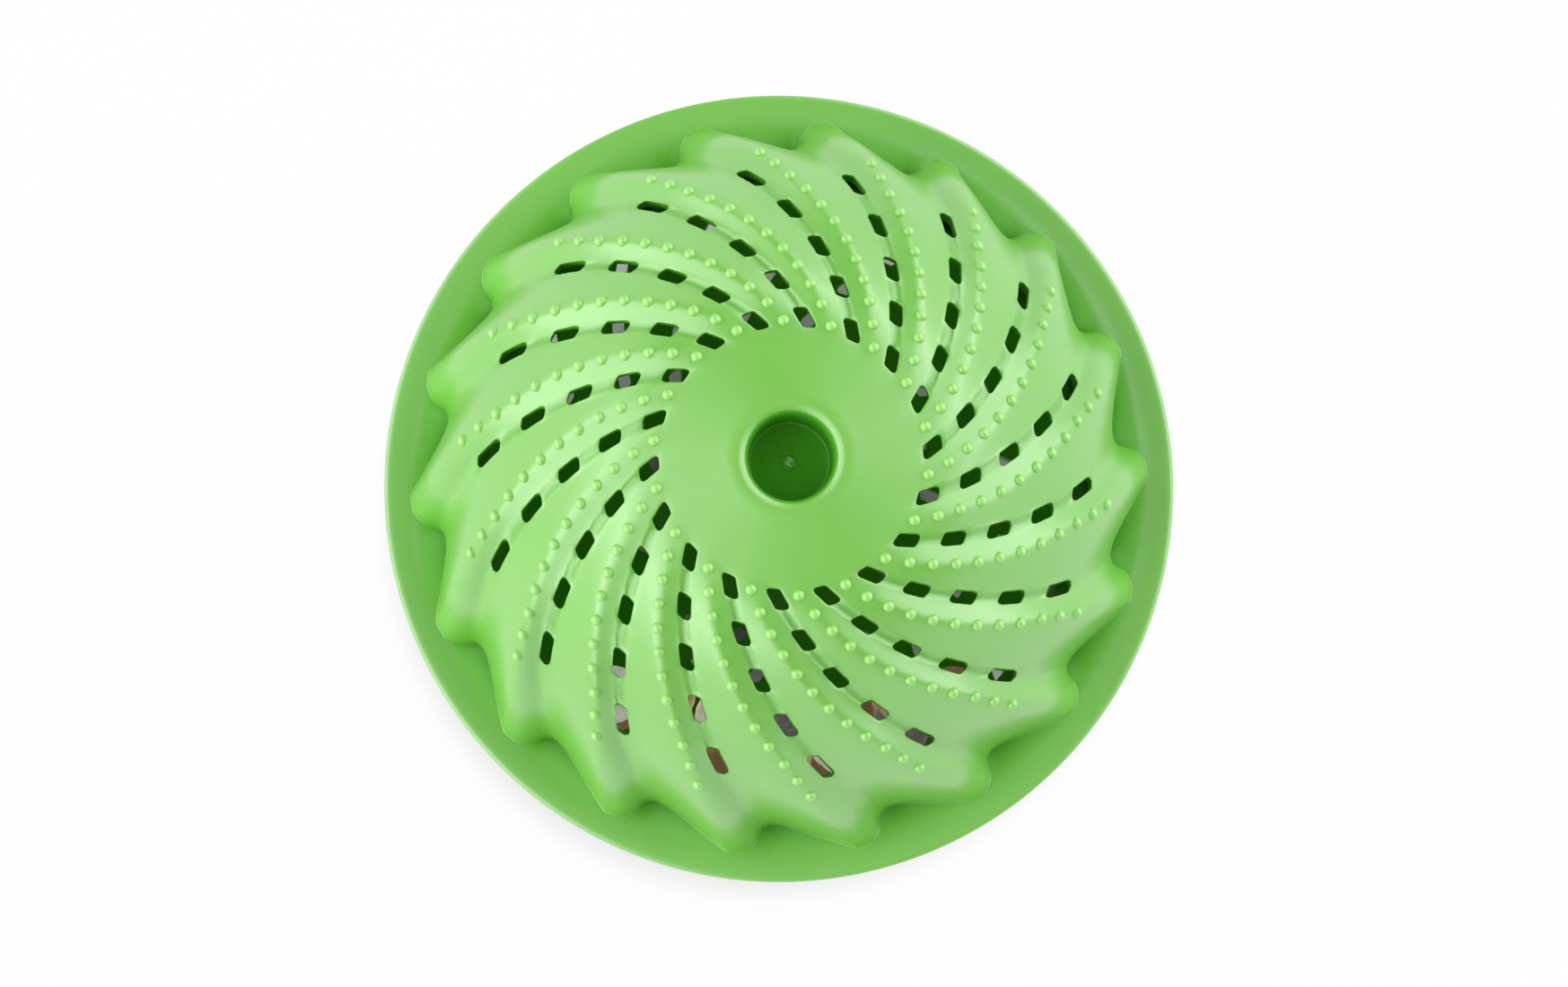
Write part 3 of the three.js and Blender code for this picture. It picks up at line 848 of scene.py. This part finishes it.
class Nodes:
    """The node tree of a material or a world, with short calls to add and join nodes."""

    def __init__(self, name, kind=bpy.data.materials):
        self.owner = kind.new(name)
        self.owner.use_nodes = True
        self.tree = self.owner.node_tree
        self.shader = self.tree.nodes.get("Principled BSDF")

    def add(self, kind, **values):
        node = self.tree.nodes.new(kind)
        for key, value in values.items():
            setattr(node, key, value)
        return node

    def give(self, target, value):
        """Joins an output to a socket, or sets a constant on it."""
        if isinstance(value, bpy.types.NodeSocket):
            self.tree.links.new(value, target)
        else:
            target.default_value = value

    def shade(self, socket, value):
        """Gives an output or a constant to one of the material's own sockets."""
        self.give(self.shader.inputs[socket], value)

    def attribute(self, name):
        return self.add("ShaderNodeAttribute", attribute_name=name).outputs["Fac"]

    def noise(self, waves, detail=3):
        """Noise over the object's own coordinates, in waves per metre."""
        made = self.add("ShaderNodeTexNoise")
        self.give(made.inputs["Vector"], self.add("ShaderNodeTexCoord").outputs["Object"])
        self.give(made.inputs["Scale"], waves)
        self.give(made.inputs["Detail"], detail)
        return made.outputs["Fac"]

    def ramp(self, value, stops):
        """A colour ramp from (place, colour) pairs."""
        made = self.add("ShaderNodeValToRGB")
        elements = made.color_ramp.elements
        stops = list(stops)
        while len(elements) < len(stops):
            elements.new(stops[-1][0])
        for element, (place, colour) in zip(elements, stops):
            element.position = place
            element.color = colour
        self.give(made.inputs["Fac"], value)
        return made.outputs["Color"]

    def grey_ramp(self, value, stops):
        """A ramp of greys from (place, brightness) pairs."""
        return self.ramp(value, [(place, grey(brightness)) for place, brightness in stops])

    def mapped(self, value, source, target, kind="LINEAR"):
        """Maps one range of values on to another."""
        made = self.add("ShaderNodeMapRange", interpolation_type=kind)
        for name, limit in zip(("From Min", "From Max", "To Min", "To Max"), (*source, *target)):
            self.give(made.inputs[name], limit)
        self.give(made.inputs["Value"], value)
        return made.outputs["Result"]

    def spread(self, value, low, high):
        """Spreads noise over a range."""
        return self.mapped(value, NOISE_RANGE, (low, high))

    def mix(self, factor, first, second):
        """Mixes two colours."""
        made = self.add("ShaderNodeMix", data_type="RGBA")
        for name, value in (("Factor", factor), ("A", first), ("B", second)):
            self.give(made.inputs[name], value)
        return made.outputs["Result"]

    def number(self, operation, first, second):
        """A sum of two numbers, or the like."""
        made = self.add("ShaderNodeMath", operation=operation)
        self.give(made.inputs[0], first)
        self.give(made.inputs[1], second)
        return made.outputs["Value"]

    def total(self, outputs):
        """The sum of one or more outputs."""
        found, *others = outputs
        for other in others:
            found = self.number("ADD", found, other)
        return found

    def vector(self, operation, *values):
        """An operation on vectors, which gives a number or another vector."""
        made = self.add("ShaderNodeVectorMath", operation=operation)
        for target, value in zip(made.inputs, values):
            self.give(target, value)
        gives_number = operation in ("DISTANCE", "DOT_PRODUCT", "LENGTH")
        return made.outputs["Value" if gives_number else "Vector"]

    def bump(self, height, depth, strength):
        """Bump of a depth in millimetres."""
        made = self.add("ShaderNodeBump")
        self.give(made.inputs["Height"], height)
        self.give(made.inputs["Distance"], depth * MILLIMETRE)
        self.give(made.inputs["Strength"], strength)
        return made.outputs["Normal"]

    def ray_kinds(self, *kinds):
        """One for rays of the named kinds, and zero for others."""
        path = self.add("ShaderNodeLightPath")
        return self.total([path.outputs[kind] for kind in kinds])

    def blend(self, factor, first, second, output):
        """Mixes two shaders, and shows the result."""
        made = self.add("ShaderNodeMixShader")
        for target, value in zip(made.inputs, (factor, first, second)):
            self.give(target, value)
        self.give(self.tree.nodes[output].inputs["Surface"], made.outputs["Shader"])


# Greens, gloss and roughness of the shells at the recess, the grooves, the plain outside and the nubs.
# The recess's darker green and dark gloss tint are painted shade, the grooves' darker green is painted
# shade, and the nubs' lighter green is painted light
SHELL_MARKS = (RECESS_MARK, GROOVE_MARK, PLAIN_MARK, NUB_MARK)
PALE_GREENS = (srgb(78, 166, 38), srgb(95, 175, 45), srgb(111, 190, 58), srgb(140, 214, 86))
DEEP_GREENS = (srgb(74, 160, 35), srgb(92, 172, 42), srgb(108, 187, 55), srgb(137, 211, 83))
SHELL_GLOSS_AND_PAINTED_SHADE = ((0.04, 0.12, 0.02, 1), grey(0.8), grey(1), grey(1))
SHELL_ROUGHNESS = (grey(0.55), grey(0.34), grey(0.3), grey(0.38))

# Light that comes through the thin wall to the inside
THROUGH_WALL = (0.001, 0.016, 0, 1)


def shell_plastic():
    """Satin moulded plastic in a fresh green, with slight clouding and shallow sink marks. Painted shade
    darkens the recess and grooves, painted light lightens the nubs, and the inside glows faintly with
    painted light.
    """
    nodes = Nodes("shell_green_plastic")
    relief_and_painted_light = nodes.attribute("relief_and_painted_light")
    # Greens by mark: the recess and grooves are darker, which is painted shade, and the nubs are lighter,
    # which is painted light
    pale = nodes.ramp(relief_and_painted_light, zip(SHELL_MARKS, PALE_GREENS))
    deep = nodes.ramp(relief_and_painted_light, zip(SHELL_MARKS, DEEP_GREENS))
    cloud = nodes.spread(nodes.noise(waves=60, detail=2), low=0, high=1)
    nodes.shade("Base Color", nodes.mix(cloud, pale, deep))
    nodes.shade("Roughness", nodes.ramp(relief_and_painted_light, zip(SHELL_MARKS, SHELL_ROUGHNESS)))
    # The recess's dark gloss tint is painted shade: it takes the reflections out of the recess
    nodes.shade("Specular Tint", nodes.ramp(relief_and_painted_light, zip(SHELL_MARKS, SHELL_GLOSS_AND_PAINTED_SHADE)))
    nodes.shade("IOR", 1.75)
    nodes.shade("Specular IOR Level", 1.0)
    nodes.shade("Emission Color", THROUGH_WALL)
    nodes.shade("Emission Strength", nodes.attribute("inside"))
    nodes.shade("Normal", nodes.bump(nodes.noise(waves=90, detail=1), depth=0.2, strength=0.3))
    return nodes.owner


# Colours of what lies inside the shells, from dark to light, and where their mottling starts and ends
CAP_GREENS = (srgb(98, 172, 60), srgb(110, 184, 70))
FERRITE_GREYS = (srgb(38, 38, 42), srgb(66, 66, 72))
PELLET_COLOURS = {
    "grey": (srgb(104, 100, 98), srgb(136, 132, 128)),
    "terracotta": (srgb(118, 90, 66), srgb(148, 117, 88)),
    "tan": (srgb(166, 142, 106), srgb(198, 176, 140)),
    "white": (srgb(208, 202, 190), srgb(232, 228, 220)),
}
MOTTLE_RANGE = (0.35, 0.65)


def cap_plastic():
    """The magnet caps' green, a little deeper."""
    nodes = Nodes("cap_green_plastic")
    nodes.shade("Base Color", nodes.ramp(nodes.noise(waves=80, detail=2), zip(MOTTLE_RANGE, CAP_GREENS)))
    nodes.shade("Roughness", nodes.spread(nodes.noise(waves=800), low=0.38, high=0.46))
    nodes.shade("Normal", nodes.bump(nodes.noise(waves=3000), depth=0.015, strength=0.5))
    return nodes.owner


def ferrite():
    """Dark sintered magnet with a fine grain."""
    nodes = Nodes("magnet_ferrite")
    speck = nodes.noise(waves=2500, detail=4)
    nodes.shade("Base Color", nodes.ramp(speck, zip(NOISE_RANGE, FERRITE_GREYS)))
    nodes.shade("Metallic", 0.3)
    nodes.shade("Roughness", nodes.spread(nodes.noise(waves=1800), low=0.42, high=0.6))
    nodes.shade("Normal", nodes.bump(speck, depth=0.03, strength=0.6))
    return nodes.owner


# Pellets: faint glow, dark grains, and the unevenness of the balls as shares of their radius
PELLET_GLOW = 0.42
GRAIN_RAMP = ((0.62, 0), (0.7, 1))
GRAIN_SHADE = 0.45
PELLET_DETAIL = 3
PELLET_INSET = 0.01
PELLET_UNEVENNESS = 0.02
PELLET_WAVES_PER_MILLIMETRE = 0.22
PELLET_WAVES_APART = 7.3


def ceramic(name, dark, light):
    """Unglazed speckled ceramic."""
    nodes = Nodes(f"pellet_{name}_ceramic")
    speck = nodes.noise(waves=2600, detail=2)
    body = nodes.ramp(nodes.noise(waves=450, detail=4), zip(MOTTLE_RANGE, (dark, light)))
    grain = (*(GRAIN_SHADE * channel for channel in dark[:3]), 1)
    clay = nodes.mix(nodes.grey_ramp(speck, GRAIN_RAMP), body, grain)
    nodes.shade("Base Color", clay)
    nodes.shade("Emission Color", clay)
    nodes.shade("Emission Strength", PELLET_GLOW)
    nodes.shade("Roughness", nodes.spread(nodes.noise(waves=900), low=0.72, high=0.9))
    nodes.shade("Normal", nodes.bump(speck, depth=0.08, strength=0.6))
    return nodes.owner


def uneven_ball(name, radius, number):
    """The mesh of a ball with a radius in metres, which is uneven in its own way for each number."""
    ball = bmesh.new()
    bmesh.ops.create_icosphere(ball, subdivisions=PELLET_DETAIL, radius=1)
    apart = Vector((0, 0, PELLET_WAVES_APART * number))
    for vertex in ball.verts:
        spot = vertex.co * radius / MILLIMETRE * PELLET_WAVES_PER_MILLIMETRE
        wave = noise.noise(spot + apart)
        vertex.co *= radius * (1 - PELLET_INSET + PELLET_UNEVENNESS * wave)
    mesh = bpy.data.meshes.new(name)
    ball.to_mesh(mesh)
    ball.free()
    mesh.polygons.foreach_set("use_smooth", [True] * len(mesh.polygons))
    return mesh


def make_pellets():
    """Hand-rolled ceramic balls, each a little uneven, in place of the plain ones."""
    materials = {name: ceramic(name, *colours) for name, colours in PELLET_COLOURS.items()}
    names = [name for name in sorted(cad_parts) if "_pellet_" in name]
    for number, name in enumerate(names):
        colour = name.split("_")[0]
        low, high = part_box(name)
        mesh = uneven_ball(f"{name}_ball", (high.z - low.z) / 2, number)
        mesh.materials.append(materials[colour])
        made = show(f"{name}_ball", mesh)
        made.location = (low + high) / 2
        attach(made, "pellet_charge")
        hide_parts(name)


# Width of the eased edges of the magnets and caps
EASED_EDGE = 0.25


def finish_inner_nodes():
    """Finishes and eased edges for the magnets and caps, whose solids stay."""
    magnet = ferrite()
    cap = cap_plastic()
    for half in ("upper", "lower"):
        for node, material in ((f"{half}_magnet", magnet), (f"{half}_magnet_cap", cap)):
            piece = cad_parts[node]
            piece.data.materials.clear()
            piece.data.materials.append(material)
            ease = piece.modifiers.new("eased_edges", "BEVEL")
            ease.width = EASED_EDGE * MILLIMETRE
            ease.segments = 2
            ease.limit_method = "ANGLE"


# The floor, in metres: its size, and the patch under the ball where it is grey, a painted shadow, and
# doesn't glow
FLOOR_SIZE = 8.0
FLOOR_GREYS_AND_PAINTED_SHADOW = ((0.5, 0.25), (0.85, 0.7))
FLOOR_RAMP_REACH = 0.07
FLOOR_GLOW_SHARE = 0.97
SHADE_RADII = (0.046, 0.06)


def make_floor():
    """A white floor that glows mostly white to the camera and keeps a soft shadow, with a painted shadow,
    a darker grey, under the ball.
    """
    half = FLOOR_SIZE / 2
    level = CAD_LOW.z
    corners = ((-half, -half, level), (half, -half, level), (half, half, level), (-half, half, level))
    mesh = bpy.data.meshes.new("floor")
    mesh.from_pydata(corners, [], [(0, 1, 2, 3)])
    nodes = Nodes("floor_white")
    place = nodes.add("ShaderNodeNewGeometry").outputs["Position"]
    away = nodes.vector("DISTANCE", place, (0, 0, level))
    ramp_place = nodes.number("DIVIDE", away, FLOOR_RAMP_REACH)
    # The darker grey under the ball is a painted shadow
    nodes.shade("Base Color", nodes.grey_ramp(ramp_place, FLOOR_GREYS_AND_PAINTED_SHADOW))
    nodes.shade("Roughness", 0.9)
    nodes.shade("Specular IOR Level", 0.1)
    seen = nodes.ray_kinds("Is Camera Ray", "Is Glossy Ray", "Is Transmission Ray")
    clear = nodes.mapped(away, SHADE_RADII, (0, FLOOR_GLOW_SHARE), "SMOOTHSTEP")
    glow = nodes.add("ShaderNodeEmission").outputs["Emission"]
    lit = nodes.shader.outputs["BSDF"]
    nodes.blend(nodes.number("MULTIPLY", seen, clear), lit, glow, "Material Output")
    mesh.materials.append(nodes.owner)
    floor = show("floor", mesh)


# A light tent: bright walls on the left and right, dimmer ones between them and a dark spot near the top
TENT_LIGHT = 2.2
LOW_LIGHT_GAIN = 1.45
LOW_LIGHT_TOP = 0.45
TENT_DARK_SPOT = (0, 0.27)
TENT_WALLS = (((-0.94, -0.34, 0), 1.0), ((0.95, 0.31, 0), 1.12), ((0, -1, 0), 0.03))
TENT_WALL_EDGES = (0.25, 0.97)
TENT_BRIGHT = ((0.15, 0.04), (0.34, 0.68), (0.6, 0.86), (1.0, 1.0))
TENT_DIM = ((0.15, 0.03), (0.32, 0.11), (0.6, 0.11), (0.8, 0.12), (1.0, 0.12))


def make_world():
    """The light tent, which the camera sees as white."""
    nodes = Nodes("light_tent", bpy.data.worlds)
    direction = nodes.add("ShaderNodeTexCoord").outputs["Generated"]
    dark_x, dark_y = TENT_DARK_SPOT
    level = nodes.vector("MULTIPLY_ADD", direction, (1, 1, 0), (-dark_x, -dark_y, 0))
    around = nodes.vector("NORMALIZE", level)
    walls = []
    for facing, strength in TENT_WALLS:
        towards = nodes.vector("DOT_PRODUCT", around, facing)
        walls.append(nodes.mapped(towards, TENT_WALL_EDGES, (0, strength), "SMOOTHSTEP"))
    reach = nodes.vector("LENGTH", level)
    dim = nodes.grey_ramp(reach, TENT_DIM)
    bright = nodes.grey_ramp(reach, TENT_BRIGHT)
    upward = nodes.vector("DOT_PRODUCT", direction, (0, 0, 1))
    lights = (TENT_LIGHT * LOW_LIGHT_GAIN, TENT_LIGHT)
    tent = nodes.tree.nodes["Background"]
    nodes.give(tent.inputs["Color"], nodes.mix(nodes.total(walls), dim, bright))
    nodes.give(tent.inputs["Strength"], nodes.mapped(upward, (0, LOW_LIGHT_TOP), lights, "SMOOTHSTEP"))
    white = nodes.add("ShaderNodeBackground")
    nodes.give(white.inputs["Color"], grey(1))
    shown = (tent.outputs["Background"], white.outputs["Background"])
    nodes.blend(nodes.ray_kinds("Is Camera Ray"), *shown, "World Output")
    bpy.context.scene.world = nodes.owner


def make_camera():
    """The photograph's camera: almost straight down the axis, with image up along +Y."""
    about_x = Matrix.Rotation(math.radians(CAMERA_TILT_X), 3, "X")
    about_y = Matrix.Rotation(math.radians(CAMERA_TILT_Y), 3, "Y")
    back = (about_x @ about_y).transposed()
    place = back @ Vector((-CAMERA_OFFSET[0], -CAMERA_OFFSET[1], CAMERA_DISTANCE))
    data = bpy.data.cameras.new("camera")
    data.sensor_width = CAMERA_SENSOR
    data.lens = CAMERA_LENS
    camera = show("camera", data)
    camera.matrix_world = Matrix.Translation(place) @ back.to_4x4()
    bpy.context.scene.camera = camera


bpy.context.scene.view_settings.view_transform = "Standard"
make_camera()
make_shells(shell_plastic())
make_pellets()
finish_inner_nodes()
make_floor()
make_world()
